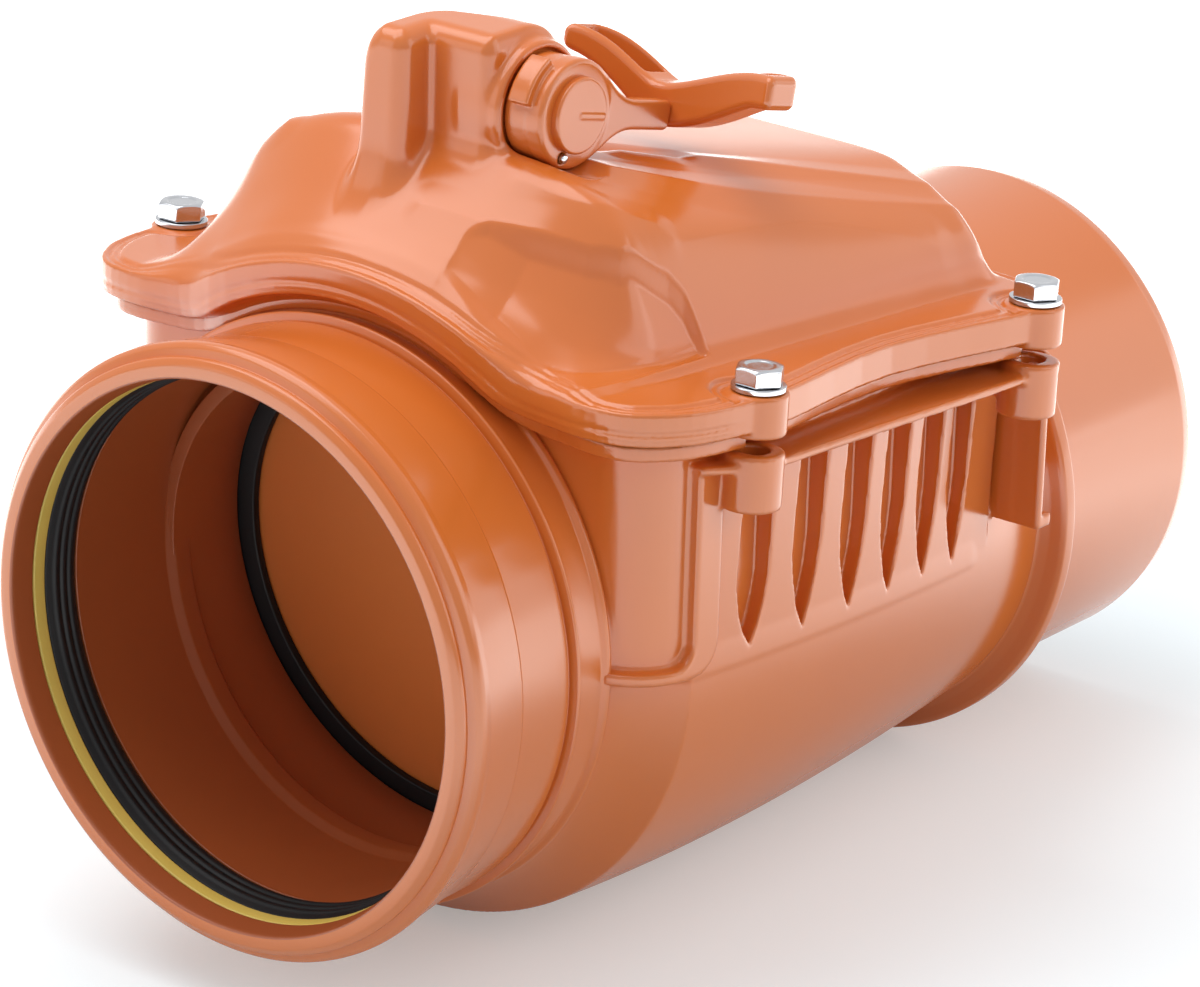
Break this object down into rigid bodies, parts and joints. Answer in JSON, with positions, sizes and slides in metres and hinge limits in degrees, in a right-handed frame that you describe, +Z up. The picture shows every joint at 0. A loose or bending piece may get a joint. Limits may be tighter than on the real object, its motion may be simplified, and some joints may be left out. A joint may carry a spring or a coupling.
{
  "type": "backwater valve",
  "caption": "Inline backwater valve for drain pipe: bell socket, hanging flap behind a leaning seat, domed bolted cover, locking lever on top, dropped spigot outlet.",
  "frame": {"origin": "centre of the bounding box's bottom, on the surface the valve lies on", "axes": "+Z up, +Y along the pipe from the bell socket to the spigot, +X to the side of the locking lever"},
  "size_m": [0.2366, 0.3808, 0.2778],
  "materials": {
    "orange_plastic": "glossy moulded PVC, orange-brown",
    "dark_orange_plastic": "moulded PVC, orange-brown",
    "black_rubber": "matt black rubber",
    "yellow_plastic": "yellow moulded plastic",
    "zinc_steel": "bright zinc-plated steel"
  },
  "bodies": {
    "valve": {"cover": "orange_plastic", "cover_bolt_1": "zinc_steel", "cover_bolt_2": "zinc_steel", "cover_bolt_3": "zinc_steel", "cover_bolt_4": "zinc_steel", "cover_gasket": "black_rubber", "cover_nut_1": "zinc_steel", "cover_nut_2": "zinc_steel", "cover_nut_3": "zinc_steel", "cover_nut_4": "zinc_steel", "cover_washer_1": "zinc_steel", "cover_washer_2": "zinc_steel", "cover_washer_3": "zinc_steel", "cover_washer_4": "zinc_steel", "seal_retaining_ring": "yellow_plastic", "socket_seal": "black_rubber", "valve_body": "orange_plastic"},
    "flap": {"flap_disc": "dark_orange_plastic", "flap_gasket": "black_rubber", "flap_hinge_pin": "zinc_steel", "flap_pin_clip_left": "zinc_steel", "flap_pin_clip_right": "zinc_steel"},
    "lock": {"lock_shaft": "orange_plastic", "lock_arm": "orange_plastic", "lock_arm_pin": "zinc_steel", "shaft_o_ring_inner": "black_rubber", "shaft_o_ring_outer": "black_rubber", "shaft_clip": "zinc_steel", "lock_lever": "orange_plastic", "lock_handle": "orange_plastic", "hub_cap": "orange_plastic", "lever_pin": "zinc_steel"}
  },
  "joints": [
    {"name": "flap_swing", "type": "hinge", "parent": "valve", "child": "flap", "pos_m": [0, -0.09245, 0.19677], "axis": [1, 0, 0], "range_deg": [0, 65]},
    {"name": "lock_lever_turn", "type": "hinge", "parent": "valve", "child": "lock", "pos_m": [0, -0.08245, 0.25477], "axis": [1, 0, 0], "range_deg": [0, 35]}
  ]
}
